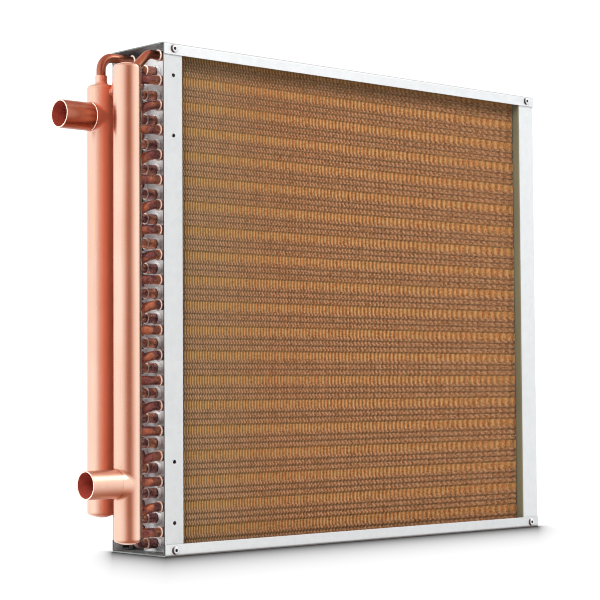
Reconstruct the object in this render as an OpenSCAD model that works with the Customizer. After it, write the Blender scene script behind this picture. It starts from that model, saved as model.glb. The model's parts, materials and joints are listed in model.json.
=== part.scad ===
// Water-to-air heat exchanger coil: three staggered rows of copper tube through a pack of thin
// fins, in a sheet metal casing, with two copper headers and a port on each.
// Origin: centre of the casing's underside. +Z up, +Y towards the back, headers on the -X side.

/* [Coil] */
// Tubes in each row, an even number because every two make a hairpin
tubes_per_row = 20; // [12:2:24]
// Height from one tube of a row to the next
tube_pitch = 25.4; // [25:0.1:27]
// Distance from one row of tubes to the next, front to back
row_pitch = 22; // [22:0.1:23]
// Length of the fin pack between the two end plates
fin_length = 515; // [300:5:700]

/* [Tubes] */
// Outside diameter of the coil tubes
tube_d = 9.52; // [9:0.01:10]
// Wall thickness of the coil tubes
tube_wall = 0.4; // [0.3:0.05:0.7]
// Centre-line radius of the bends that lead to the headers
feeder_bend_r = 14; // [13:0.5:15]

/* [Fins] */
// Fins modelled, evenly spread along the fin pack
fins_modelled = 40; // [10:1:60]
// Distance between the fins of the real coil
fin_pitch = 2.12; // [1.6:0.01:3.2]
// Thickness of one fin of the real coil
fin_sheet = 0.11; // [0.1:0.01:0.2]

/* [Casing] */
// Thickness of the casing's sheet metal
sheet = 1.2; // [1:0.1:1.5]
// Width of the end plates' flanges
end_flange = 25; // [25:1:32]
// Depth from the casing's front face to the fins, and the same at the back
fin_recess = 11.1; // [8:0.1:14]
// Height of the lips on the top and bottom channels
channel_lip = 12; // [11:0.5:14]
// Height from the casing's outside to the fins, top and bottom
fin_clearance = 4; // [3:0.5:6]
// Height of the outer screw holes in the header-side flange, from the nearer end
outer_hole_inset = 33; // [25:1:45]
// Height of the inner screw holes, from the nearer end
inner_hole_inset = 94; // [60:1:120]

/* [Headers] */
// Outside diameter of the headers and the ports
header_d = 28.58; // [27:0.02:28.6]
// Wall thickness of the headers and the ports
header_wall = 1.27; // [1:0.01:1.6]
// Distance from the casing's side to the headers' axes
header_offset = 30; // [30:0.5:36]
// Length from a header's axis to the open end of its port
port_reach = 51.5; // [40:0.5:90]
// Height of the lower port above the underside, and of the upper port below the top
port_inset = 73.3; // [65:0.1:110]

/* [Hidden] */
$fn = 48;

// Colours
galvanised = [0.86, 0.87, 0.88];
copper = [0.85, 0.52, 0.38];
worn_copper = [0.55, 0.27, 0.2];
fin_gold = [0.66, 0.46, 0.26];
braze_silver = [0.88, 0.84, 0.78];
rivet_steel = [0.75, 0.76, 0.78];
rivet_dark = [0.2, 0.2, 0.21];

// Casing
FRONT = 0;
MIDDLE = 1;
REAR = 2;
ROWS = [FRONT, MIDDLE, REAR];
gap = 0.05;
fin_depth = len(ROWS) * row_pitch;
fin_height = tubes_per_row * tube_pitch;
casing_w = fin_length + 2 * end_flange;
casing_d = fin_depth + 2 * fin_recess;
casing_h = fin_height + 2 * fin_clearance;
left = -casing_w / 2;
front = -casing_d / 2;
sheet_bend_r = 2 * sheet;
plate_d = casing_d - 2 * sheet - 2 * gap;
plate_h = casing_h - 2 * sheet - 2 * gap;
punch = 6 * sheet;

// Rivets and screw holes
rivet_inset_x = end_flange / 2;
rivet_inset_z = channel_lip / 2;
rivet_shank_r = 1.6;
rivet_head_r = 4.3;
rivet_head_h = 1.7;
rivet_tail_r = 2.4;
rivet_tail_h = 3;
rivet_grip = 2 * sheet + gap;
mandrel_r = 1.1;
mandrel_sunk = 0.9;
screw_hole_r = 2.1;
screw_hole_heights = [
    outer_hole_inset, inner_hole_inset, casing_h - inner_hole_inset, casing_h - outer_hole_inset];

// Coil tubes
tube_r = tube_d / 2;
bore_r = tube_r - tube_wall;
plate_hole_r = tube_r + 0.25;
fin_hole_r = tube_r + 0.1;
socket_mouth_x = left + 9.3;
socket_root_x = left + 20.8;
socket_length = socket_root_x - socket_mouth_x;
socket_r = tube_r + tube_wall + 0.15;
socket_taper = 1.5;
flare_length = 1.3;
flare_growth = 0.9;
insert_depth = socket_length - socket_taper - 0.5;
stub_length = 2.3;
hairpin_bend_x = -left - end_flange + sheet + 3;
joint_overlap = 0.3;
joint_step = 0.03;
braze_r = 0.4;
braze_ring_r = tube_r + braze_r + 0.05;

// Fins
real_fins = fin_length / fin_pitch;
modelled_fin_sheet = fin_sheet * real_fins / fins_modelled;
fin_end_gap = 1;
fin_spacing = (fin_length - 2 * fin_end_gap - modelled_fin_sheet) / (fins_modelled - 1);

// Headers
header_r = header_d / 2;
header_bore_r = header_r - header_wall;
header_x = left - header_offset;
front_header_y = -row_pitch;
rear_header_y = row_pitch;
front_header_z = [15, casing_h - 24];
rear_header_z = [40, casing_h - 40];
spin_r = 4;
mouth_r = header_r - spin_r;
cap_dome = 2.2;
feeder_bore_r = tube_r + 0.06;
feeder_bore_overrun = 8;
feeder_reach_in = 2.2;
least_turn = 0.01;
upper_port_z = casing_h - port_inset;
lower_port_z = port_inset;
collar_r = header_bore_r - 0.07;
collar_bore_r = collar_r - 1;
port_braze_r = 0.4;
port_root = header_r + 2 * port_braze_r + 2 * gap;
collar_length = port_root + 2;
neck_bore_r = tube_r + 0.1;
neck_r = neck_bore_r + 1.1;
neck_rise = 10;
throat_sweep = 75;
reducer_z = rear_header_z[1] - spin_r;
neck_top_z = rear_header_z[1] + neck_rise;
top_feeder_lead = 7.3;
top_entry_z = front_header_z[1] - 12;
bottom_entry_z = front_header_z[0] + 9.5;
crossover_x = header_x + 4;
crossover_z = rear_header_z[1] - 8;
crossover_bend_r = 10;
crossover_reach_in = 6;

// Height of a tube, counted from 0 at the bottom. The middle row sits half a pitch lower.
function tube_z(row, i) =
    fin_clearance + tube_pitch / 4 + (row == MIDDLE ? 0 : tube_pitch / 2) + i * tube_pitch;
function row_y(row) = (row - MIDDLE) * row_pitch;

// Even tubes from the bottom start a hairpin and odd ones end it
evens = [0 : 2 : tubes_per_row - 2];
odds = [1 : 2 : tubes_per_row - 1];
last = tubes_per_row - 1;

// Points of an arc in a plane, from angle a0 to a1
function arc(centre, r, a0, a1, steps = 6) =
    [for (i = [0 : steps]) let (a = a0 + (a1 - a0) * i / steps)
        centre + r * [cos(a), sin(a)]];

// ---- Sheet metal ----

// Quarter of a bend, its inner corner at the origin, filling the +X +Y quadrant
module bend_corner() {
    intersection() {
        difference() {
            circle(r = sheet_bend_r);
            circle(r = sheet_bend_r - sheet);
        }
        square(sheet_bend_r);
    }
}

// Section of a channel, centred on X, its web along X at Y = 0 and its flanges along +Y
module channel_section(web, flange) {
    translate([sheet_bend_r - web / 2, 0])
        square([web - 2 * sheet_bend_r, sheet]);
    for (side = [0, 1])
        mirror([side, 0]) {
            translate([web / 2 - sheet, sheet_bend_r])
                square([sheet, flange - sheet_bend_r]);
            translate([web / 2 - sheet_bend_r, sheet_bend_r])
                mirror([0, 1])
                    bend_corner();
        }
}

// Top or bottom channel, standing on its web, with holes for the corner rivets
module long_channel() {
    difference() {
        translate([left, 0, 0])
            rotate([90, 0, 90])
                linear_extrude(casing_w)
                    channel_section(casing_d, channel_lip);
        for (x = [left + rivet_inset_x, -left - rivet_inset_x])
            translate([x, 0, rivet_inset_z])
                rotate([90, 0, 0])
                    cylinder(r = rivet_shank_r + gap, h = 2 * casing_d, center = true);
    }
}

// End plate on the header side: a channel open towards -X, with a hole for every tube
module end_plate() {
    difference() {
        translate([left + end_flange, 0, sheet + gap])
            rotate([0, 0, 90])
                linear_extrude(plate_h)
                    channel_section(plate_d, end_flange);
        for (row = ROWS, i = [0 : last])
            translate([left + end_flange, row_y(row), tube_z(row, i)])
                rotate([0, 90, 0])
                    cylinder(r = plate_hole_r, h = punch, center = true);
        for (z = [rivet_inset_z, casing_h - rivet_inset_z])
            translate([left + rivet_inset_x, 0, z])
                rotate([90, 0, 0])
                    cylinder(r = rivet_shank_r + gap, h = 2 * casing_d, center = true);
    }
}

module top_channel() {
    color(galvanised)
        translate([0, 0, casing_h])
            mirror([0, 0, 1])
                long_channel();
}

module bottom_channel() {
    color(galvanised) long_channel();
}

// The front flange also has two pairs of screw holes
module header_end_plate() {
    color(galvanised)
        difference() {
            end_plate();
            for (z = screw_hole_heights)
                translate([left + rivet_inset_x, front, z])
                    rotate([90, 0, 0])
                        cylinder(r = screw_hole_r, h = punch, center = true);
        }
}

module return_end_plate() {
    color(galvanised)
        mirror([1, 0, 0])
            end_plate();
}

// ---- Rivets ----

// Places children at the casing's four front corners, +Z pointing out of the front
module at_front_corners() {
    for (x = [left + rivet_inset_x, -left - rivet_inset_x])
        for (z = [rivet_inset_z, casing_h - rivet_inset_z])
            translate([x, front, z])
                rotate([90, 0, 0])
                    children();
}

// Places children at the casing's four rear corners, +Z pointing out of the back
module at_rear_corners() {
    rotate([0, 0, 180])
        at_front_corners()
            children();
}

// Half section of a blind rivet, hollow, with a domed head outside and a swollen tail inside
module rivet_section() {
    dome = arc([rivet_head_r - rivet_head_h, 0], rivet_head_h, 0, 90);
    polygon(concat(
        [[mandrel_r + gap, -rivet_grip - rivet_tail_h], [rivet_shank_r, -rivet_grip - rivet_tail_h],
         [rivet_tail_r, -rivet_grip - rivet_tail_h / 2], [rivet_shank_r, -rivet_grip],
         [rivet_shank_r, gap]],
        [for (p = dome) p + [0, gap]],
        [[mandrel_r + gap, rivet_head_h + gap]]));
}

module blind_rivet() {
    rotate_extrude()
        rivet_section();
}

// Broken-off mandrel left in a set rivet, its ball end behind the tail
module mandrel_stub() {
    ball_h = 2;
    tail_end = -rivet_grip - rivet_tail_h - gap;
    translate([0, 0, tail_end])
        cylinder(r = mandrel_r, h = rivet_head_h - mandrel_sunk - tail_end);
    translate([0, 0, tail_end - ball_h])
        cylinder(r = rivet_shank_r, h = ball_h);
}

module front_corner_rivets() {
    color(rivet_steel) at_front_corners() blind_rivet();
}

module rear_corner_rivets() {
    color(rivet_steel) at_rear_corners() blind_rivet();
}

module rivet_mandrels() {
    color(rivet_dark) {
        at_front_corners() mandrel_stub();
        at_rear_corners() mandrel_stub();
    }
}

// ---- Fins ----

module fin() {
    rotate([90, 0, 90])
        linear_extrude(modelled_fin_sheet)
            difference() {
                translate([-fin_depth / 2, fin_clearance])
                    square([fin_depth, fin_height]);
                for (row = ROWS, i = [0 : last])
                    translate([row_y(row), tube_z(row, i)])
                        circle(r = fin_hole_r);
            }
}

module fin_pack() {
    color(fin_gold)
        for (i = [0 : fins_modelled - 1])
            translate([left + end_flange + fin_end_gap + i * fin_spacing, 0, 0])
                fin();
}

// ---- Copper tube ----

// Section of a tube, its wall grown on both sides
module tube_section(grow = 0) {
    difference() {
        circle(r = tube_r + grow);
        circle(r = bore_r - grow);
    }
}

// Straight tube along +Z
module tube_run(length, grow = 0) {
    linear_extrude(length) tube_section(grow);
}

// Bend that starts along +Z and turns towards +X
module tube_bend(bend_r, angle) {
    rotate([90, 0, 180])
        translate([-bend_r, 0, 0])
            rotate_extrude(angle = angle)
                translate([bend_r, 0])
                    tube_section();
}

// Places children at the far end of a bend, +Z pointing onwards
module after_bend(bend_r, angle) {
    translate([bend_r * (1 - cos(angle)), 0, bend_r * sin(angle)])
        rotate([0, angle, 0])
            children();
}

// Places children at a tube end, +Z pointing along -X, +X turned by roll from +Y towards +Z
module heading_out(x, row, i, roll = 0) {
    translate([x, row_y(row), tube_z(row, i)])
        rotate([roll - 90, 0, 0])
            rotate([0, -90, 0])
                children();
}

// Widened tube end: a taper, a socket and a flared mouth
module socket() {
    flare_at = socket_length - flare_length;
    rotate_extrude()
        difference() {
            polygon([
                [0, 0], [tube_r, 0], [socket_r, socket_taper], [socket_r, flare_at],
                [socket_r + flare_growth, socket_length], [0, socket_length]]);
            polygon([
                [0, -1], [bore_r, -1], [bore_r, 0], [socket_r - tube_wall, socket_taper],
                [socket_r - tube_wall, flare_at],
                [socket_r - tube_wall + flare_growth, socket_length],
                [socket_r - tube_wall + flare_growth, socket_length + 1], [0, socket_length + 1]]);
        }
}

// Two neighbouring tubes of a row and the bend that joins them on the return side
module hairpin(row, i) {
    leg = hairpin_bend_x - socket_root_x;
    for (k = [i, i + 1]) {
        heading_out(socket_root_x, row, k)
            socket();
        heading_out(hairpin_bend_x, row, k)
            tube_run(leg);
    }
    translate([hairpin_bend_x, row_y(row), tube_z(row, i)])
        rotate([0, -90, 180])
            tube_bend(tube_pitch / 2, 180);
}

module hairpin_row(row) {
    color(worn_copper)
        for (i = evens)
            hairpin(row, i);
}

module front_row_hairpins() {
    hairpin_row(FRONT);
}

module middle_row_hairpins() {
    hairpin_row(MIDDLE);
}

module rear_row_hairpins() {
    hairpin_row(REAR);
}

// Half turn from one socket to another, reaching into both
module return_bend(row_a, i_a, row_b, i_b) {
    dy = row_y(row_b) - row_y(row_a);
    dz = tube_z(row_b, i_b) - tube_z(row_a, i_a);
    leg = insert_depth + stub_length;
    heading_out(socket_mouth_x + insert_depth, row_a, i_a, atan2(dz, dy)) {
        tube_run(leg);
        translate([0, 0, leg])
            tube_bend(norm([dy, dz]) / 2, 180);
        translate([norm([dy, dz]), 0, 0])
            tube_run(leg);
    }
}

// From the front row down to the middle row, below every hairpin but the top one
module diagonal_return_bends() {
    color(worn_copper)
        for (i = odds)
            if (i < last)
                return_bend(FRONT, i, MIDDLE, i);
}

// Across from the front row to the rear row, between the headers
module cross_return_bends() {
    color(worn_copper)
        for (i = evens)
            return_bend(FRONT, i, REAR, i);
}

// Angle through which a feeder turns to point at a target that is `ahead` in front of the bend
// and `aside` from its axis
function aim(ahead, aside, bend_r) =
    atan2(aside - bend_r, ahead) + asin(bend_r / norm([ahead, aside - bend_r]));

// Length left after the bend before the target is reached
function aim_run(ahead, aside, bend_r) =
    sqrt(ahead * ahead + pow(aside - bend_r, 2) - bend_r * bend_r);

// Tube from a socket, round one bend and into the header at the target point on its axis.
// The run after the bend has a slightly thicker wall, so that it closes over the bend's end.
// With as_bore it is only the straight cutter for the hole in the header.
module feeder(row, i, target, as_bore = false, lead = stub_length) {
    dy = target[1] - row_y(row);
    dz = target[2] - tube_z(row, i);
    ahead = socket_mouth_x - lead - target[0];
    aside = norm([dy, dz]);
    turn = aim(ahead, aside, feeder_bend_r);
    run = aim_run(ahead, aside, feeder_bend_r);
    wall_at = header_bore_r - feeder_reach_in;
    heading_out(socket_mouth_x - lead, row, i, atan2(dz, dy)) {
        if (as_bore) {
            after_bend(feeder_bend_r, turn)
                translate([0, 0, run - header_r - feeder_bore_overrun])
                    cylinder(r = feeder_bore_r, h = header_r + feeder_bore_overrun - wall_at / 2);
        } else {
            translate([0, 0, -lead - insert_depth])
                tube_run(lead + insert_depth);
            if (turn > least_turn)
                tube_bend(feeder_bend_r, turn);
            after_bend(feeder_bend_r, turn)
                translate([0, 0, -joint_overlap])
                    tube_run(run - wall_at + joint_overlap, joint_step);
        }
    }
}

// One feeder to the front header from each even tube of the middle row but the lowest
module front_feeders(as_bore = false) {
    for (i = evens)
        if (i > 0)
            feeder(MIDDLE, i, [header_x, front_header_y, tube_z(MIDDLE, i)], as_bore);
}

// The lowest feeder climbs a little to clear the header's closed end
module bottom_feeder(as_bore = false) {
    feeder(MIDDLE, 0, [header_x, front_header_y, bottom_entry_z], as_bore);
}

// The highest tube of the front row drops into the front header's upper shoulder
module top_feeder(as_bore = false) {
    feeder(FRONT, last, [header_x, front_header_y, top_entry_z], as_bore, top_feeder_lead);
}

// Straight feeders to the rear header from the odd tubes of the rear row but the highest
module rear_feeders(as_bore = false) {
    for (i = odds)
        if (i < last)
            feeder(REAR, i, [header_x, rear_header_y, tube_z(REAR, i)], as_bore);
}

module front_header_feeders() {
    color(worn_copper) front_feeders();
}

module front_header_bottom_feeder() {
    color(worn_copper) bottom_feeder();
}

module front_header_top_feeder() {
    color(copper) top_feeder();
}

module rear_header_feeders() {
    color(worn_copper) rear_feeders();
}

// From the highest tube of the rear row, over and down into the reducer's neck
module rear_header_top_feeder() {
    drop = tube_z(REAR, last) - feeder_bend_r - neck_top_z + neck_rise / 2;
    run = socket_mouth_x + insert_depth - header_x - feeder_bend_r;
    color(copper)
        heading_out(socket_mouth_x + insert_depth, REAR, last, -90) {
            tube_run(run);
            translate([0, 0, run]) {
                tube_bend(feeder_bend_r, 90);
                after_bend(feeder_bend_r, 90)
                    tube_run(drop);
            }
        }
}

// From the highest tube of the middle row out between the headers, down, and back into the
// rear header
module rear_header_crossover() {
    run = socket_mouth_x + insert_depth - crossover_x - crossover_bend_r;
    drop = tube_z(MIDDLE, last) - crossover_z - 2 * crossover_bend_r;
    reach = rear_header_y - header_r + crossover_reach_in - crossover_bend_r;
    color(worn_copper)
        heading_out(socket_mouth_x + insert_depth, MIDDLE, last, -90) {
            tube_run(run);
            translate([0, 0, run]) {
                tube_bend(crossover_bend_r, 90);
                after_bend(crossover_bend_r, 90) {
                    tube_run(drop);
                    translate([0, 0, drop])
                        rotate([0, 0, -90]) {
                            tube_bend(crossover_bend_r, 90);
                            after_bend(crossover_bend_r, 90)
                                tube_run(reach);
                        }
                }
            }
        }
}

module crossover_bore() {
    translate([crossover_x, rear_header_y - header_bore_r / 2, crossover_z])
        rotate([90, 0, 0])
            cylinder(r = feeder_bore_r, h = header_r);
}

// ---- Headers ----

// Half outline of a header's outside, its ends spun in to a smaller mouth. An open top is left
// straight for a fitting.
module header_outline(z, spun_top) {
    top = z[1] - spin_r;
    polygon(concat(
        [[0, z[0]]],
        arc([mouth_r, z[0] + spin_r], spin_r, -90, 0),
        spun_top ? arc([mouth_r, top], spin_r, 0, 90) : [[header_r, top]],
        [[0, spun_top ? z[1] : top]]));
}

// Half outline of the space inside, which runs out through both mouths
module header_cavity(z, spun_top) {
    top = z[1] - spin_r;
    inner_spin = spin_r - header_wall;
    polygon(concat(
        [[0, z[0] - 1], [mouth_r, z[0] - 1]],
        arc([mouth_r, z[0] + spin_r], inner_spin, -90, 0),
        spun_top ? arc([mouth_r, top], inner_spin, 0, 90) : [[header_bore_r, z[1]]],
        spun_top ? [[mouth_r, z[1] + 1], [0, z[1] + 1]] : [[0, z[1]]]));
}

// Header tube with a short drawn collar for the port. Children are cut away from it.
module header(y, z, port_z, spun_top) {
    difference() {
        union() {
            translate([header_x, y, 0])
                rotate_extrude()
                    header_outline(z, spun_top);
            on_port(y, port_z)
                cylinder(r = collar_r, h = collar_length);
        }
        translate([header_x, y, 0])
            rotate_extrude()
                header_cavity(z, spun_top);
        on_port(y, port_z)
            cylinder(r = collar_bore_r, h = collar_length + 1);
        children();
    }
}

module front_header() {
    color(copper)
        header(front_header_y, front_header_z, lower_port_z, true) {
            front_feeders(as_bore = true);
            bottom_feeder(as_bore = true);
            top_feeder(as_bore = true);
        }
}

module rear_header() {
    color(copper)
        header(rear_header_y, rear_header_z, upper_port_z, false) {
            rear_feeders(as_bore = true);
            crossover_bore();
        }
}

// Domed disc brazed into a spun header end, its rim at Z = 0 and its dome upwards
module end_cap() {
    rim_r = mouth_r - gap;
    ball_r = (rim_r * rim_r + cap_dome * cap_dome) / (2 * cap_dome);
    half_angle = asin(rim_r / ball_r);
    dome = arc([0, cap_dome - ball_r], ball_r, 90 - half_angle, 90);
    rotate_extrude()
        polygon(concat([[0, -header_wall], [rim_r, -header_wall]], dome));
}

module front_header_top_cap() {
    color(copper)
        translate([header_x, front_header_y, front_header_z[1]])
            end_cap();
}

module front_header_bottom_cap() {
    color(copper)
        translate([header_x, front_header_y, front_header_z[0]])
            mirror([0, 0, 1])
                end_cap();
}

module rear_header_bottom_cap() {
    color(copper)
        translate([header_x, rear_header_y, rear_header_z[0]])
            mirror([0, 0, 1])
                end_cap();
}

// Bell-shaped fitting that narrows the rear header down to one coil tube
module rear_header_reducer() {
    throat_r = header_r - neck_r - spin_r;
    throat = [neck_r + throat_r, rear_header_z[1] + throat_r];
    inner_spin = spin_r - header_wall;
    color(copper)
        translate([header_x, rear_header_y, 0])
            rotate_extrude()
                polygon(concat(
                    arc([mouth_r, reducer_z + gap], spin_r, 0, 90),
                    arc([throat[0], throat[1] + gap], throat_r, 180 + throat_sweep, 180),
                    [[neck_r, neck_top_z], [neck_bore_r, neck_top_z],
                     [neck_bore_r, rear_header_z[1] + neck_rise / 2 - gap],
                     [bore_r, rear_header_z[1] + neck_rise / 2 - gap],
                     [bore_r, rear_header_z[1]]],
                    arc([mouth_r, reducer_z + gap], inner_spin, 90, 0)));
}

// ---- Ports and brazing ----

// Places children on a port's axis, at the header's axis, +Z pointing outwards
module on_port(y, z) {
    translate([header_x, y, z])
        rotate([0, -90, 0])
            children();
}

// Tube that fits over the header's collar and takes the hose or pipe
module port() {
    translate([0, 0, port_root])
        linear_extrude(port_reach - port_root)
            difference() {
                circle(r = header_r);
                circle(r = header_bore_r);
            }
}

module upper_port() {
    color(copper) on_port(rear_header_y, upper_port_z) port();
}

module lower_port() {
    color(copper) on_port(front_header_y, lower_port_z) port();
}

module braze_bead(ring_r, bead_r) {
    rotate_extrude()
        translate([ring_r, 0])
            circle(r = bead_r);
}

// Ring of filler round the collar, between the header and the root of the port
module port_braze_ring() {
    translate([0, 0, port_root - gap - port_braze_r])
        braze_bead(header_r, port_braze_r);
}

module upper_port_braze_ring() {
    color(braze_silver) on_port(rear_header_y, upper_port_z) port_braze_ring();
}

module lower_port_braze_ring() {
    color(braze_silver) on_port(front_header_y, lower_port_z) port_braze_ring();
}

// Bead of filler in every flared socket mouth of a row
module row_braze_rings(row) {
    color(braze_silver)
        for (i = [0 : last])
            heading_out(socket_mouth_x, row, i)
                braze_bead(braze_ring_r, braze_r);
}

module front_row_braze_rings() {
    row_braze_rings(FRONT);
}

module middle_row_braze_rings() {
    row_braze_rings(MIDDLE);
}

module rear_row_braze_rings() {
    row_braze_rings(REAR);
}

top_channel();
bottom_channel();
header_end_plate();
return_end_plate();
front_corner_rivets();
rear_corner_rivets();
rivet_mandrels();
fin_pack();
front_row_hairpins();
middle_row_hairpins();
rear_row_hairpins();
diagonal_return_bends();
cross_return_bends();
front_header();
front_header_top_cap();
front_header_bottom_cap();
rear_header();
rear_header_reducer();
rear_header_bottom_cap();
front_header_feeders();
front_header_top_feeder();
front_header_bottom_feeder();
rear_header_feeders();
rear_header_top_feeder();
rear_header_crossover();
upper_port();
lower_port();
upper_port_braze_ring();
lower_port_braze_ring();
front_row_braze_rings();
middle_row_braze_rings();
rear_row_braze_rings();
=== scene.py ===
"""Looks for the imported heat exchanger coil: rippled fins, blended port roots, metals, studio and camera."""

import json
import math

import bpy
import numpy as np
from mathutils import Matrix, Vector


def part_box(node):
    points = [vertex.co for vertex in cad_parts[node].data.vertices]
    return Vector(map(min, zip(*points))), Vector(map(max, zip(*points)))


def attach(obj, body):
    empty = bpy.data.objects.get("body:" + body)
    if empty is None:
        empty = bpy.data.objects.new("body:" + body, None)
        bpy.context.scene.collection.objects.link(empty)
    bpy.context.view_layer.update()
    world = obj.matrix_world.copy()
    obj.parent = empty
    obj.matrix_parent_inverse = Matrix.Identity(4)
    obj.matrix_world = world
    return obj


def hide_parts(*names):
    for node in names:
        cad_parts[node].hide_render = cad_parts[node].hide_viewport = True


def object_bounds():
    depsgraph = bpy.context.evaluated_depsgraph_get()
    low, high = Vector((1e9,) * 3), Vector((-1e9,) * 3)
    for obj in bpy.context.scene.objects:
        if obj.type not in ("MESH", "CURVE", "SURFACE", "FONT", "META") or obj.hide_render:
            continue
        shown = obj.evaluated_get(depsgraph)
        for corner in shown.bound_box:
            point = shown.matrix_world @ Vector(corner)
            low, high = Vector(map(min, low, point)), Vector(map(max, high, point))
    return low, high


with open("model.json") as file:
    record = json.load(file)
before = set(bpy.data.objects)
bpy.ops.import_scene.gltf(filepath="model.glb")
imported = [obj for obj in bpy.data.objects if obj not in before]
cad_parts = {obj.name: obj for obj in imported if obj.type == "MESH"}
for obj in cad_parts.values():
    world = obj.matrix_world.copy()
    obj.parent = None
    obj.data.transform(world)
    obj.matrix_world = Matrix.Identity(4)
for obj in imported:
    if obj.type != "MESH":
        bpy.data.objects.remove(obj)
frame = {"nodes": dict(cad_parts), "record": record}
cad_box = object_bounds()
MM = 0.001

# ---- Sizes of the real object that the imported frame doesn't carry ----

FIN_PITCH = 2.12 * MM
FIN_SHEET = 0.16 * MM
TUBE_PITCH = 25.4 * MM
TUBES_PER_ROW = 20
RIPPLES = 3  # crests between one tube of the front row and the next
RIPPLE_SHARE = 0.72  # of the tube pitch; the rest is flat, round the tube
RIPPLE_HEIGHT = 0.95 * MM
RIPPLE_STEPS = 7  # mesh rows for each crest
FIN_GROUPS = 6
FIRST_TUBE = 0.75  # of the tube pitch, from the fins' foot up to the lowest tube of the front row
# The brightest band of the fins is a painted reflection of the front row's lit tubes.
TUBE_REFLECTION_SHIFT = 0.05  # of the tube pitch, from a tube of the front row up to the brightest part of the fins

HEADER_R = 14.29 * MM
HEADER_WALL = 1.27 * MM
SADDLE_STEPS = 40  # round half of a port's root
ARC_STEPS = 8  # across its fillet
SADDLE_LIFT = 0.06 * MM  # of its foot off the header
SADDLE_LAP = 0.6 * MM  # of its mouth past the end of the port
SADDLE_LIP = 0.1 * MM

SHEET = 1.2 * MM
BEND_R = SHEET  # outside radius of a bend of the casing's sheet
COIL_ROWS = ("front_row", "middle_row", "rear_row")
COLLAR_STEPS = 24
COLLAR_PROFILE = (  # millimetres out of the tube sheet, and radius
    (0.0, 7.4), (0.3, 6.5), (1.0, 5.9), (2.3, 5.75), (2.6, 5.5), (2.3, 5.2), (0.0, 5.1),
)
BEAD_GROWTH = (0.4 * MM, 0.4 * MM, 0.4 * MM)
# The mandrels' ends grow out of the rivet heads, a black disc of painted shade for each hole.
MANDREL_GROWTH = (0.65 * MM, 1.6 * MM, 0.65 * MM)
WELD_DIGITS = 6  # decimals of a metre within which two points are one


# ---- Meshes ----

def piece(name, points, faces, material, replaces=()):
    """Makes a mesh object that rides on the coil, with the material it is given."""
    mesh = bpy.data.meshes.new(name)
    mesh.from_pydata([tuple(p) for p in points], [], [tuple(f) for f in faces])
    mesh.validate()
    mesh.polygons.foreach_set("use_smooth", [True] * len(mesh.polygons))
    mesh.materials.append(material)
    made = bpy.data.objects.new(name, mesh)
    bpy.context.scene.collection.objects.link(made)
    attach(made, "root")
    if replaces:
        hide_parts(*replaces)
    return made


# ---- Shader nodes ----

class Shader:
    """A material and short calls to build its nodes."""

    def __init__(self, name):
        self.material = bpy.data.materials.new(name)
        self.material.use_nodes = True
        self.nodes = self.material.node_tree.nodes
        self.links = self.material.node_tree.links
        self.surface = self.nodes["Principled BSDF"]
        self.place = self.nodes.new("ShaderNodeTexCoord").outputs["Object"]

    def put(self, socket, value):
        """Sets a socket to a number, a colour or another node's output."""
        if isinstance(value, bpy.types.NodeSocket):
            self.links.new(value, socket)
        elif isinstance(value, (tuple, list)) and len(value) == 3 and socket.type == "RGBA":
            socket.default_value = (*value, 1.0)
        else:
            socket.default_value = value

    def add(self, kind, settings=None, **inputs):
        """A new node, with its settings and named inputs filled in."""
        made = self.nodes.new("ShaderNode" + kind)
        for key, value in (settings or {}).items():
            setattr(made, key, value)
        for key, value in inputs.items():
            self.put(made.inputs[key.replace("_", " ")], value)
        return made

    def scaled(self, x, y, z):
        """The place on the object, stretched along each axis."""
        return self.add("Mapping", Vector=self.place, Scale=(x, y, z)).outputs["Vector"]

    def noise(self, scale, detail=3.0, vector=None):
        made = self.add("TexNoise", Scale=scale, Detail=detail, Roughness=0.55)
        self.put(made.inputs["Vector"], vector if vector is not None else self.place)
        return made.outputs["Fac"]

    def cells(self, scale, vector=None, randomness=1.0):
        made = self.add("TexVoronoi", Scale=scale, Randomness=randomness)
        self.put(made.inputs["Vector"], vector if vector is not None else self.place)
        return made

    def remap(self, value, low, high, out_low=0.0, out_high=1.0):
        made = self.add("MapRange", {"interpolation_type": "SMOOTHSTEP"})
        for index, item in enumerate((value, low, high, out_low, out_high)):
            self.put(made.inputs[index], item)
        return made.outputs["Result"]

    def math(self, operation, a, b=0.0):
        made = self.add("Math", {"operation": operation})
        self.put(made.inputs[0], a)
        self.put(made.inputs[1], b)
        return made.outputs[0]

    def mix(self, fac, a, b):
        made = self.add("Mix", {"data_type": "RGBA", "blend_type": "MIX"})
        self.put(made.inputs["Factor"], fac)
        self.put(made.inputs[6], a)
        self.put(made.inputs[7], b)
        return made.outputs[2]

    def axis(self, name):
        return self.add("SeparateXYZ", Vector=self.place).outputs[name]

    def normal(self, name):
        return self.add("SeparateXYZ", Vector=self.add("NewGeometry").outputs["Normal"]).outputs[name]

    def openness(self, distance):
        """1 in the open and towards 0 in corners and holes."""
        return self.add("AmbientOcclusion", {"samples": 8}, Distance=distance).outputs["AO"]

    def bump(self, height, strength, distance):
        made = self.add("Bump", Strength=strength, Distance=distance)
        self.put(made.inputs["Height"], height)
        self.put(self.surface.inputs["Normal"], made.outputs["Normal"])

    def finish(self, colour, roughness, metallic=1.0):
        self.put(self.surface.inputs["Base Color"], colour)
        self.put(self.surface.inputs["Roughness"], roughness)
        self.put(self.surface.inputs["Metallic"], metallic)
        return self.material


# ---- Materials ----

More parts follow.
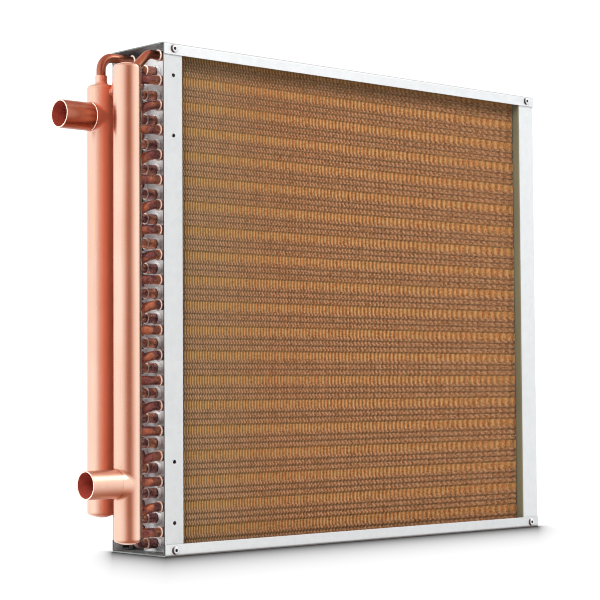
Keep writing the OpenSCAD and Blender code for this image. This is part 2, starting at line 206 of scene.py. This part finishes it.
def galvanised(name, light_and_shade_tone, fin_side=0.0, tube_sheet=False, crevice_reach=9 * MM, cut_ends=False):
    """Zinc spangle, with painted shade in corners and holes and along the top bends. fin_side is the sign of
    the X direction in which the fins lie; the faces that look that way are painted dark olive, as shade and
    reflection of the fins. On the face of the tube sheet the painted shade of crevices is weaker, and the
    corners behind the flanges are painted near black as shade. The floor of the bottom channel is painted dark
    as shade, and the cut ends of the channels, facing -X, are darker."""
    s = Shader(name)
    spangle = s.cells(170.0, s.scaled(1.0, 1.0, 0.8)).outputs["Color"]
    spangle = s.add("SeparateColor", Color=spangle).outputs["Red"]
    grain = s.noise(900.0, 2.0, s.scaled(0.06, 1.0, 1.0))
    cloud = s.noise(9.0, 3.0)
    mottle = s.math("ADD", s.math("MULTIPLY", spangle, 0.5), s.math("MULTIPLY", cloud, 0.5))
    # The colour is scaled per part, lighter or darker, as painted light and shade.
    colour = s.mix(mottle, [light_and_shade_tone * c for c in (0.63, 0.635, 0.64)], [light_and_shade_tone * c for c in (0.70, 0.705, 0.71)])
    # Painted shade and reflection of the fins: dark olive on the faces that look towards them.
    fin_shade_and_reflection = s.remap(s.math("MULTIPLY", s.normal("X"), fin_side), 0.5, 0.8, 0.0, 0.9)
    colour = s.mix(fin_shade_and_reflection, colour, s.mix(cloud, (0.08, 0.07, 0.02), (0.19, 0.17, 0.07)))
    # Painted shade: darker in corners and holes, by how open each point is.
    crevice = s.remap(s.openness(crevice_reach), 0.1, 0.75, 0.85, 0.0)
    if tube_sheet:
        # Painted shade on the face of the tube sheet: near black in the corners behind the flanges, and weaker
        # painted crevice shade over the rest of that face.
        face = s.remap(s.normal("X"), -0.5, -0.8)
        low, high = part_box("header_end_plate")
        corner = s.math("SUBTRACT", (high.y - low.y) / 2, s.math("ABSOLUTE", s.axis("Y")))
        corner = s.math("MULTIPLY", face, s.remap(corner, 19 * MM, 25 * MM, 1.0, 0.0))
        crevice = s.math("MULTIPLY", crevice, s.math("SUBTRACT", 1.0, s.math("MULTIPLY", face, 0.65)))
        colour = s.mix(corner, colour, (0.02, 0.02, 0.02))
    colour = s.mix(crevice, colour, (0.08, 0.09, 0.085))
    # Painted shade on the upward faces low down, the floor of the bottom channel.
    web_shade = s.math("MULTIPLY", s.remap(s.normal("Z"), 0.5, 0.9),
                 s.remap(s.axis("Z"), 2 * BEND_R, 3 * BEND_R, 0.85, 0.0))
    colour = s.mix(web_shade, colour, (0.09, 0.1, 0.095))
    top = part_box("top_channel")[1].z
    # Painted shade along the outside of the top bends, on the faces that don't look up.
    bend_shade = s.math("MULTIPLY", s.remap(s.axis("Z"), top - 1.7 * BEND_R, top - BEND_R, 0.0, 0.85),
                  s.remap(s.normal("Z"), 0.3, 0.8, 1.0, 0.0))
    colour = s.mix(bend_shade, colour, (0.1, 0.1, 0.1))
    if cut_ends:
        colour = s.mix(s.remap(s.normal("X"), -0.7, -0.9, 0.0, 0.9), colour, (0.1, 0.115, 0.105))
    roughness = s.remap(s.math("ADD", spangle, s.math("MULTIPLY", grain, 0.4)), 0.0, 1.4, 0.36, 0.5)
    s.bump(grain, 0.12, 0.0002)
    return s.finish(colour, roughness, 0.15)


def copper(name, dark, light, streaks, roughness, port=None, shaded_side=False):
    """Drawn copper tube: blotches and streaks along its length. A port's bore is a dark, less metallic red, and
    the end of its wall is bare. A tube with a shaded side is painted redder and duller on the side towards the
    other header, as painted reflection and shade."""
    s = Shader(name)
    streak = s.noise(420.0, 3.0, s.scaled(1.0, 1.0, 0.03))
    blotch = s.noise(28.0, 4.0, s.scaled(1.0, 1.0, 0.45))
    colour = s.mix(s.remap(blotch, 0.35, 0.7), dark, light)
    colour = s.mix(s.remap(streak, 0.4, 0.75, 0.0, 0.18), colour, streaks)
    metallic, roughness = 1.0, s.remap(s.math("ADD", streak, blotch), 0.7, 1.4, roughness, roughness + 0.07)
    # Painted reflection and shade: redder and duller on the side that looks towards the other header.
    if shaded_side:
        facing = s.math("SUBTRACT", s.math("MULTIPLY", s.normal("X"), 0.74),
                        s.math("MULTIPLY", s.normal("Y"), 0.67))
        tint = s.remap(facing, -0.32, 0.36)
        colour = s.mix(tint, colour, s.mix(blotch, (0.6, 0.14, 0.07), (0.68, 0.18, 0.1)))
        metallic = s.math("SUBTRACT", 1.0, s.math("MULTIPLY", tint, 0.45))
        roughness = s.math("ADD", roughness, s.math("MULTIPLY", tint, 0.2))
    if port:
        low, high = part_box(port)
        aside = [s.math("SUBTRACT", s.axis(axis), (a + b) / 2) for axis, a, b in zip("XYZ", low, high)][1:]
        across = s.math("SQRT", s.math("ADD", *[s.math("POWER", s.math("ABSOLUTE", a), 2.0) for a in aside]))
        # The bore is a dark, less metallic red.
        bore = s.remap(across, HEADER_R - 0.9 * HEADER_WALL, HEADER_R - 0.6 * HEADER_WALL, 1.0, 0.0)
        colour = s.mix(bore, colour, s.mix(blotch, (0.34, 0.05, 0.035), (0.5, 0.09, 0.06)))
        colour = s.mix(s.remap(s.normal("X"), -0.8, -0.95), colour, (0.92, 0.72, 0.62))
        metallic = s.math("SUBTRACT", 1.0, s.math("MULTIPLY", bore, 0.8))
    return s.finish(colour, roughness, metallic)


def worn_copper():
    """Copper of the coil, browned in patches by the torch."""
    s = Shader("heat_darkened_copper")
    patch = s.noise(75.0, 4.0)
    fine = s.noise(420.0, 3.0)
    colour = s.mix(s.remap(patch, 0.4, 0.62), (0.3, 0.12, 0.12), (0.78, 0.31, 0.17))
    colour = s.mix(s.remap(fine, 0.5, 0.7, 0.0, 0.6), colour, (0.46, 0.38, 0.4))
    roughness = s.remap(fine, 0.3, 0.7, 0.22, 0.4)
    s.bump(fine, 0.15, 0.0002)
    return s.finish(colour, roughness, 0.75)


def filler():
    """Lumpy pale brazing filler."""
    s = Shader("brazing_filler")
    lump = s.noise(600.0, 3.0)
    colour = s.mix(lump, (0.86, 0.74, 0.64), (0.97, 0.93, 0.88))
    s.bump(lump, 0.4, 0.0003)
    return s.finish(colour, s.remap(lump, 0.3, 0.7, 0.3, 0.5), 0.25)


def fin_metal():
    """Coated fin stock: a painted reflection of the tubes' copper light on the flats, brown between them,
    painted shade where a ripple faces down, bare on the cut edges, darker with depth between the fins and under
    the top lip as painted shade, and a painted sheen towards the header end."""
    s = Shader("coated_fin_stock")
    low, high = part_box("fin_pack")
    each_fin = s.noise(1.0 / (1.6 * FIN_PITCH), 1.0, s.scaled(1.0, 0.0, 0.03))
    speck = s.cells(1.0, s.scaled(1.0 / FIN_PITCH, 0.0, 1.0 / (1.7 * MM)), 0.6).outputs["Color"]
    speck = s.add("SeparateColor", Color=speck).outputs["Red"]
    each_fin = s.math("ADD", s.math("MULTIPLY", each_fin, 0.5), s.math("MULTIPLY", speck, 0.5))
    cloud = s.noise(14.0, 3.0)
    tilt = s.normal("Z")
    # Painted reflection of the lit tubes: orange bands on the flats, peaking just above each tube of the front
    # row.
    tube_reflection_height = low.z + (FIRST_TUBE + TUBE_REFLECTION_SHIFT) * TUBE_PITCH
    turn = s.math("MULTIPLY", s.math("SUBTRACT", s.axis("Z"), tube_reflection_height), 2 * math.pi / TUBE_PITCH)
    painted_light = s.remap(s.math("COSINE", turn), -0.2, 1.0)
    brown = s.mix(s.remap(each_fin, 0.3, 0.7), (0.64, 0.26, 0.12), (1.0, 0.47, 0.23))
    brown = s.mix(s.remap(speck, 0.6, 0.95, 0.0, 0.4), brown, (0.66, 0.42, 0.33))
    orange = s.mix(s.remap(each_fin, 0.3, 0.7), (1.0, 0.38, 0.12), (1.0, 0.56, 0.21))
    colour = s.mix(painted_light, brown, orange)
    # Painted sheen: paler and more golden towards the header end.
    header_end = s.remap(s.axis("X"), low.x, low.x + 0.3 * (high.x - low.x), 0.6, 0.0)
    colour = s.mix(header_end, colour, s.mix(painted_light, (0.92, 0.64, 0.42), (1.0, 0.66, 0.25)))
    colour = s.mix(s.remap(speck, 0.0, 0.4, 0.3, 0.0), colour, (0.2, 0.08, 0.03))
    # Painted shade where a ripple faces down.
    down_facing_shade = s.math("MULTIPLY", s.remap(tilt, -0.1, -0.3), s.remap(speck, 0.0, 1.0, 0.25, 0.85))
    colour = s.mix(down_facing_shade, colour, (0.16, 0.075, 0.05))
    # Painted shade: darker with depth between the fins.
    across = s.axis("Y")
    depth = s.math("MINIMUM", s.math("SUBTRACT", across, low.y), s.math("SUBTRACT", high.y, across))
    colour = s.mix(s.remap(depth, 0.1 * MM, 2.0 * MM, 0.0, 0.8), colour, (0.1, 0.04, 0.015))
    lip_shade = s.remap(s.axis("Z"), high.z - 9 * MM, high.z - 3 * MM, 0.0, 0.75)
    colour = s.mix(lip_shade, colour, (0.1, 0.07, 0.03))
    edge = s.remap(s.math("ABSOLUTE", s.normal("Y")), 0.8, 0.95)
    colour = s.mix(edge, colour, s.mix(each_fin, (0.9, 0.55, 0.22), (1.0, 0.8, 0.42)))
    s.put(s.surface.inputs["Specular IOR Level"], 0.25)
    return s.finish(colour, s.remap(cloud, 0.3, 0.7, 0.4, 0.5), 0.2)


def steel(name, dark, light, roughness, crevice):
    """Scuffed steel of the rivets, with painted shade on the side towards the headers and in crevices."""
    s = Shader(name)
    scuff = s.noise(900.0, 3.0)
    colour = s.mix(scuff, dark, light)
    s.bump(scuff, 0.15, 0.0001)
    # Painted shade on the side that looks towards the headers.
    shade = s.math("ADD", s.math("MULTIPLY", s.normal("X"), 0.95), s.math("MULTIPLY", s.normal("Z"), 0.3))
    colour = s.mix(s.remap(shade, -0.15, -0.6, 0.0, 0.9), colour, (0.03, 0.03, 0.03))
    # Painted shade in crevices.
    colour = s.mix(s.remap(s.openness(crevice), 0.3, 0.8, 0.9, 0.0), colour, (0.02, 0.02, 0.02))
    return s.finish(colour, s.remap(scuff, 0.3, 0.7, roughness, roughness + 0.15))


# Each part's sheet is scaled lighter or darker, as painted light and shade: lit and shaded copies of one
# galvanised sheet, with the collars much lighter as a painted highlight.
CASING = galvanised("galvanised_sheet", 0.98, cut_ends=True)
TOP_CASING = galvanised("galvanised_sheet_top", 1.06, cut_ends=True)
RETURN_CASING = galvanised("galvanised_sheet_return_end", 1.05, -1.0)
HEADER_CASING = galvanised("galvanised_sheet_header_end", 0.86, 1.0, True)
COLLAR_CASING = galvanised("galvanised_collars", 1.25, crevice_reach=0.8 * MM)
PALE = ((0.86, 0.52, 0.39), (0.9, 0.58, 0.45), (0.82, 0.42, 0.3))
DEEP = ((0.46, 0.15, 0.09), (0.6, 0.23, 0.14), (0.38, 0.12, 0.08))
PALE_COPPER = copper("bright_copper", *PALE, 0.24)
SIDE_SHADED_COPPER = copper("side_shaded_copper", *PALE, 0.26, shaded_side=True)
PALE_PORT = copper("bright_copper_port", *PALE, 0.4, "lower_port")
DEEP_COPPER = copper("deep_copper", *DEEP, 0.3)
DEEP_PORT = copper("deep_copper_port", *DEEP, 0.26, "upper_port")
WORN_COPPER = worn_copper()
FILLER = filler()
FIN_METAL = fin_metal()
RIVET = steel("zinc_plated_rivet", (0.6, 0.61, 0.63), (0.82, 0.83, 0.85), 0.25, 2.5 * MM)
# Near-black mandrel ends: painted shade of the rivet holes.
HOLE_SHADE_MANDREL = steel("mandrel_hole_shade", (0.02, 0.02, 0.02), (0.06, 0.06, 0.06), 0.5, 2.5 * MM)

SLOT_MATERIALS = {
    "casing": CASING, "rivet": RIVET, "mandrel": HOLE_SHADE_MANDREL, "fin": FIN_METAL,
    "coil_copper": WORN_COPPER, "header_copper": PALE_COPPER, "braze": FILLER,
}
NODE_MATERIALS = {
    "top_channel": TOP_CASING, "return_end_plate": RETURN_CASING, "header_end_plate": HEADER_CASING,
    "lower_port": PALE_PORT, "upper_port": DEEP_PORT,
    "front_header_top_feeder": DEEP_COPPER, "rear_header_top_feeder": DEEP_COPPER,
    "rear_header": SIDE_SHADED_COPPER, "rear_header_reducer": SIDE_SHADED_COPPER, "rear_header_bottom_cap": SIDE_SHADED_COPPER,
}
for part in frame["record"]["subparts"]:
    node = frame["nodes"][part["node"]]
    node.data.materials.clear()
    node.data.materials.append(NODE_MATERIALS.get(part["node"], SLOT_MATERIALS[part["material_slot"]]))


# ---- Fins ----

def ripple_rows(bottom, top):
    """Heights of the mesh rows of a fin and how far its sheet leans to -X at each."""
    first_tube = bottom + FIRST_TUBE * TUBE_PITCH
    flat = (1 - RIPPLE_SHARE) / 2 * TUBE_PITCH
    crest = RIPPLE_SHARE * TUBE_PITCH / RIPPLES
    heights, leans = [bottom], [0.0]
    for tube in range(-1, TUBES_PER_ROW):
        start = first_tube + tube * TUBE_PITCH + flat
        for step in range(RIPPLES * RIPPLE_STEPS + 1):
            height = start + step * crest / RIPPLE_STEPS
            if bottom < height < top:
                heights.append(height)
                leans.append(RIPPLE_HEIGHT * (1 - math.cos(2 * math.pi * step / RIPPLE_STEPS)) / 2)
    heights.append(top)
    leans.append(0.0)
    return np.array(heights), np.array(leans)


def build_fins():
    """The whole fins, in groups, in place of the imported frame's fewer and thicker ones."""
    low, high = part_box("fin_pack")
    heights, leans = ripple_rows(low.z, high.z)
    rows = len(heights)
    count = round((high.x - low.x) / FIN_PITCH)
    spacing = (high.x - low.x - RIPPLE_HEIGHT - FIN_SHEET) / (count - 1)
    corners = [(0, low.y), (FIN_SHEET, low.y), (FIN_SHEET, high.y), (0, high.y)]
    quads = []
    for row in range(rows - 1):
        for k in range(4):
            n = (k + 1) % 4
            quads.append((row * 4 + k, row * 4 + n, row * 4 + 4 + n, row * 4 + 4 + k))
    quads.append((3, 2, 1, 0))
    quads.append(tuple((rows - 1) * 4 + k for k in range(4)))
    quads = np.array(quads)
    for group in range(FIN_GROUPS):
        fins = range(group * count // FIN_GROUPS, (group + 1) * count // FIN_GROUPS)
        points, faces = [], []
        for index, fin in enumerate(fins):
            x = low.x + RIPPLE_HEIGHT + fin * spacing
            block = np.empty((rows, 4, 3))
            for k, (dx, y) in enumerate(corners):
                block[:, k, 0] = x - leans + dx
                block[:, k, 1] = y
                block[:, k, 2] = heights
            points.append(block.reshape(-1, 3))
            faces.append(quads + index * rows * 4)
        made = piece(f"fins_{group + 1}", np.concatenate(points), np.concatenate(faces), FIN_METAL,
                     ["fin_pack"])
        made.data.set_sharp_from_angle(angle=math.radians(50))


build_fins()


# ---- Port roots ----

def port_saddle(name, port, header, reach, material, replaces=()):
    """Sheet of metal that rounds the corner between a header and its port and covers the joint."""
    port_low, port_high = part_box(port)
    header_low, header_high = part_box(header)
    centre = Vector((header_high.x - HEADER_R, (header_low.y + header_high.y) / 2,
                     (port_low.z + port_high.z) / 2))
    radius = HEADER_R + SADDLE_LIFT
    root = centre.x - port_high.x + SADDLE_LAP
    points, faces = [], []
    columns = SADDLE_STEPS + 1
    for side in (1, -1):
        base = len(points)
        for i in range(columns):
            t = -math.pi / 2 + math.pi * i / SADDLE_STEPS
            y, run = radius * math.sin(t), radius * math.cos(t)
            line = []
            for k in range(ARC_STEPS + 1):
                a = math.pi / 2 * k / ARC_STEPS
                line.append((run + reach * (1 - math.sin(a)), run + reach * (1 - math.cos(a))))
            line = line[::-1]
            line.append((max(root, run + reach + SADDLE_LIP), run))
            for out, up in line:
                points.append(centre + Vector((-out, y, side * up)))
        length = len(points[base:]) // columns
        for i in range(columns - 1):
            for k in range(length - 1):
                a = base + i * length + k
                quad = (a, a + length, a + length + 1, a + 1)
                faces.append(quad if side == -1 else quad[::-1])
    return piece(name, points, faces, material, replaces)


port_saddle("lower_port_root", "lower_port", "front_header", 3.2 * MM, PALE_COPPER,
            ["lower_port_braze_ring"])
port_saddle("upper_port_root", "upper_port", "rear_header", 2.4 * MM, SIDE_SHADED_COPPER)


# ---- Drawn collars of the tube sheet ----

def build_collars():
    """Collar drawn out of the end plate round each tube end."""
    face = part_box("header_end_plate")[1].x - SHEET
    points, faces = [], []
    for row in COIL_ROWS:
        low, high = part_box(row + "_braze_rings")
        ring_r = (high.y - low.y) / 2
        for tube in range(TUBES_PER_ROW):
            centre = Vector((face, low.y + ring_r, low.z + ring_r + tube * TUBE_PITCH))
            base, ring = len(points), len(COLLAR_PROFILE)
            for i in range(COLLAR_STEPS):
                a = 2 * math.pi * i / COLLAR_STEPS
                for out, r in COLLAR_PROFILE:
                    points.append(centre + MM * Vector((-out, r * math.cos(a), r * math.sin(a))))
                here, there = base + i * ring, base + (i + 1) % COLLAR_STEPS * ring
                for k in range(ring):
                    after = (k + 1) % ring
                    faces.append((here + k, here + after, there + after, there + k))
    return piece("tube_sheet_collars", points, faces, COLLAR_CASING)


build_collars()


# ---- Filler beads, and mandrel ends dark as painted shade in the rivet holes ----

def swell(node, name, material, growth):
    """The solids of a node, grown along each axis: filler run out over the metal, or a mandrel's end pushed out
    of its rivet head, near black as painted shade of the hole. Points in one place are welded first, so that
    the faces grow together."""
    source = frame["nodes"][node].data
    count = len(source.vertices)
    places, normals = np.empty(3 * count), np.empty(3 * count)
    source.vertices.foreach_get("co", places)
    source.vertices.foreach_get("normal", normals)
    welded, owner = np.unique(places.reshape(-1, 3).round(WELD_DIGITS), axis=0, return_inverse=True)
    owner = owner.reshape(-1)
    outwards = np.zeros_like(welded)
    np.add.at(outwards, owner, normals.reshape(-1, 3))
    outwards /= np.maximum(np.linalg.norm(outwards, axis=1, keepdims=True), 0.5)
    faces = [[int(owner[v]) for v in face.vertices] for face in source.polygons]
    return piece(name, welded + np.array(growth) * outwards, faces, material, [node])


swell("rivet_mandrels", "rivet_mandrel_ends", HOLE_SHADE_MANDREL, MANDREL_GROWTH)
for row in COIL_ROWS:
    swell(row + "_braze_rings", row + "_beads", FILLER, BEAD_GROWTH)


# ---- Studio ----

def area_light(name, place, target, size, power, colour=(1.0, 1.0, 1.0)):
    """Rectangular lamp that the camera doesn't see."""
    light = bpy.data.lights.new(name, "AREA")
    light.shape = "RECTANGLE"
    light.size, light.size_y = size
    light.energy = power
    light.color = colour
    lamp = bpy.data.objects.new(name, light)
    lamp.location = place
    lamp.rotation_euler = (Vector(target) - Vector(place)).to_track_quat("-Z", "Y").to_euler()
    lamp.visible_camera = False
    bpy.context.scene.collection.objects.link(lamp)
    return lamp


def build_floor():
    """Round pale floor. The camera sees it as white, with a painted soft shadow of the casing's foot falling
    towards it."""
    s = Shader("pale_floor")
    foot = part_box("bottom_channel")
    half = (foot[1] - foot[0]) / 2
    eye = foot[0] + CAMERA_FROM_CORNER - (foot[0] + foot[1]) / 2
    away = {"X": s.math("SUBTRACT", s.axis("X"), eye.x), "Y": s.math("SUBTRACT", s.axis("Y"), eye.y)}
    length = s.math("SQRT", s.math("ADD", s.math("POWER", away["X"], 2.0), s.math("POWER", away["Y"], 2.0)))
    lean = {axis: s.math("DIVIDE", away[axis], length) for axis in "XY"}
    size = {"X": half.x, "Y": half.y}
    short = [s.math("DIVIDE", s.math("SUBTRACT", -size[axis], s.axis(axis)), lean[axis]) for axis in "XY"]
    distance = s.math("MAXIMUM", s.math("MAXIMUM", *short), 0.0)
    beside = None
    for axis in "XY":
        reached = s.math("ADD", s.axis(axis), s.math("MULTIPLY", distance, lean[axis]))
        out = s.math("MAXIMUM", s.math("SUBTRACT", s.math("ABSOLUTE", reached), size[axis]), 0.0)
        beside = out if beside is None else s.math("ADD", beside, out)
    seen = s.add("LightPath").outputs["Is Camera Ray"]
    pale = s.mix(s.noise(6.0, 2.0), (0.72, 0.72, 0.72), (0.76, 0.76, 0.76))
    s.finish(s.mix(seen, pale, (0.0, 0.0, 0.0)), 0.6, 0.0)
    s.put(s.surface.inputs["Specular IOR Level"], 0.0)
    s.put(s.surface.inputs["Emission Color"], (1.0, 1.0, 1.0))
    # Painted shadow: the floor's white emission, seen by the camera, fades towards the foot.
    edge = s.math("ADD", SHADOW_EDGE, s.math("MULTIPLY", distance, SHADOW_SPREAD))
    fades = s.math("ADD", s.math("DIVIDE", distance, SHADOW_REACH), s.math("DIVIDE", beside, edge))
    shadow = s.math("EXPONENT", s.math("SUBTRACT", -CONTACT, fades))
    painted_light = s.math("MULTIPLY", s.math("SUBTRACT", 1.0, shadow), FLOOR_WHITE)
    s.put(s.surface.inputs["Emission Strength"], s.math("MULTIPLY", painted_light, seen))
    turns = [2 * math.pi * i / FLOOR_SIDES for i in range(FLOOR_SIDES)]
    rim = [Vector((FLOOR_R * math.cos(turn), FLOOR_R * math.sin(turn), 0.0)) for turn in turns]
    mesh = bpy.data.meshes.new("floor")
    wedges = [(0, 1 + i, 1 + (i + 1) % FLOOR_SIDES) for i in range(FLOOR_SIDES)]
    mesh.from_pydata([(0, 0, 0)] + rim, [], wedges)
    mesh.materials.append(s.material)
    floor = bpy.data.objects.new("floor", mesh)
    floor.visible_glossy = False  # the metals see the studio right down, as over a mirror
    floor.location = ((foot[0].x + foot[1].x) / 2, (foot[0].y + foot[1].y) / 2, cad_box[0].z - FLOOR_GAP)
    bpy.context.scene.collection.objects.link(floor)


def build_world():
    """White to the camera; to the metals, a studio with a white left side, a softbox front right and a dim rest
    that is warm where it is reflected."""
    world = bpy.data.worlds.new("studio")
    bpy.context.scene.world = world
    world.use_nodes = True
    nodes, links = world.node_tree.nodes, world.node_tree.links
    direction = nodes.new("ShaderNodeTexCoord").outputs["Generated"]
    total = None
    for azimuth, elevation, low, high, strength in SOFTBOXES:
        a, e = math.radians(azimuth), math.radians(elevation)
        towards = nodes.new("ShaderNodeVectorMath")
        towards.operation = "DOT_PRODUCT"
        towards.inputs[1].default_value = (
            -math.sin(a) * math.cos(e), -math.cos(a) * math.cos(e), math.sin(e))
        links.new(direction, towards.inputs[0])
        ramp = nodes.new("ShaderNodeMapRange")
        ramp.interpolation_type = "SMOOTHSTEP"
        links.new(towards.outputs["Value"], ramp.inputs[0])
        for socket, number in zip(ramp.inputs[1:5], (low, high, STUDIO_DIM, strength)):
            socket.default_value = number
        lobe = ramp.outputs["Result"]
        if total is not None:
            both = nodes.new("ShaderNodeMath")
            both.operation = "MAXIMUM"
            links.new(total, both.inputs[0])
            links.new(lobe, both.inputs[1])
            lobe = both.outputs[0]
        total = lobe
    seen, felt = nodes.new("ShaderNodeBackground"), nodes["Background"]
    seen.inputs["Color"].default_value = (1, 1, 1, 1)
    seen.inputs["Strength"].default_value = BACKDROP_WHITE
    links.new(total, felt.inputs["Strength"])
    path = nodes.new("ShaderNodeLightPath")
    warmth = nodes.new("ShaderNodeMapRange")
    links.new(total, warmth.inputs[0])
    for socket, number in zip(warmth.inputs[1:5], (STUDIO_DIM, 1.0, 1.0, 0.0)):
        socket.default_value = number
    reflected = nodes.new("ShaderNodeMath")
    reflected.operation = "MULTIPLY"
    links.new(warmth.outputs["Result"], reflected.inputs[0])
    links.new(path.outputs["Is Glossy Ray"], reflected.inputs[1])
    tint = nodes.new("ShaderNodeMix")
    tint.data_type = "RGBA"
    links.new(reflected.outputs[0], tint.inputs["Factor"])
    tint.inputs[6].default_value, tint.inputs[7].default_value = (*SOFTBOX_TINT, 1), (*DIM_TINT, 1)
    links.new(tint.outputs[2], felt.inputs["Color"])
    blend = nodes.new("ShaderNodeMixShader")
    links.new(path.outputs["Is Camera Ray"], blend.inputs["Fac"])
    links.new(felt.outputs[0], blend.inputs[1])
    links.new(seen.outputs[0], blend.inputs[2])
    links.new(blend.outputs[0], nodes["World Output"].inputs["Surface"])


CAMERA_AZIMUTH = math.radians(42.316)  # from +Y towards +X
CAMERA_ELEVATION = math.radians(2.676)
CAMERA_ROLL = math.radians(-0.3446)
CAMERA_FROM_CORNER = Vector((-1.15445, -1.46822, 0.16767))  # from the casing's front left foot
LENS_MM, SENSOR_MM = 112.06, 36.0

# Each is azimuth from -Y towards -X and elevation, in degrees, the cosines where it fades in and is full, and
# strength: the white left side, the softbox front right, the back and the ceiling
SOFTBOXES = (
    (118, 5, -0.05, 1.05, 1.3), (-55, 15, 0.3, 1.1, 1.35), (180, 0, 0.3, 0.9, 1.2), (0, 90, 0.4, 0.9, 0.6),
)
BACKDROP_WHITE = 1.15
STUDIO_DIM = 0.24
SOFTBOX_TINT, DIM_TINT = (0.97, 1.03, 1.06), (1.6, 0.82, 0.6)
FLOOR_SIDES, FLOOR_R = 64, 40.0
FLOOR_GAP = 0.2 * MM  # under the foot
FLOOR_WHITE = 1.08
# Sizes of the painted shadow on the floor.
SHADOW_REACH = 0.105  # over which the shadow fades in front of the foot
SHADOW_EDGE = 0.009  # and beside it
SHADOW_SPREAD = 0.15  # how the edge softens away from the foot
CONTACT = 0.045  # keeps the darkest part of the shadow short of black
CENTRE = (cad_box[0] + cad_box[1]) / 2
build_floor()
build_world()
area_light("key", (1.6, -1.2, 1.9), CENTRE, (0.8, 0.7), 17)
area_light("fin_light", (-1.9, -1.2, 1.8), CENTRE, (0.8, 0.8), 36, (1.0, 0.94, 0.88)).visible_glossy = False
area_light("coil_light", (-2.2, 0.1, 0.7), CENTRE, (0.8, 0.8), 50).visible_glossy = False


# ---- Camera ----

def build_camera():
    """The photo's point of view, fitted to the corners of the casing."""
    data = bpy.data.cameras.new("camera")
    data.lens, data.sensor_width = LENS_MM, SENSOR_MM
    data.clip_start, data.clip_end = 0.05, 100.0
    camera = bpy.data.objects.new("camera", data)
    bpy.context.scene.collection.objects.link(camera)
    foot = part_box("bottom_channel")[0]
    ahead = Vector((math.sin(CAMERA_AZIMUTH) * math.cos(CAMERA_ELEVATION),
                    math.cos(CAMERA_AZIMUTH) * math.cos(CAMERA_ELEVATION), math.sin(CAMERA_ELEVATION)))
    right = Vector((math.cos(CAMERA_AZIMUTH), -math.sin(CAMERA_AZIMUTH), 0.0))
    up = right.cross(ahead)
    turned_right = math.cos(CAMERA_ROLL) * right + math.sin(CAMERA_ROLL) * up
    turned_up = math.cos(CAMERA_ROLL) * up - math.sin(CAMERA_ROLL) * right
    axes = Matrix((turned_right, turned_up, -ahead)).transposed()
    camera.matrix_world = Matrix.Translation(foot + CAMERA_FROM_CORNER) @ axes.to_4x4()
    bpy.context.scene.camera = camera


build_camera()
bpy.context.scene.view_settings.view_transform = "Standard"
bpy.context.scene.view_settings.look = "None"
bpy.context.scene.cycles.filter_width = 1.0
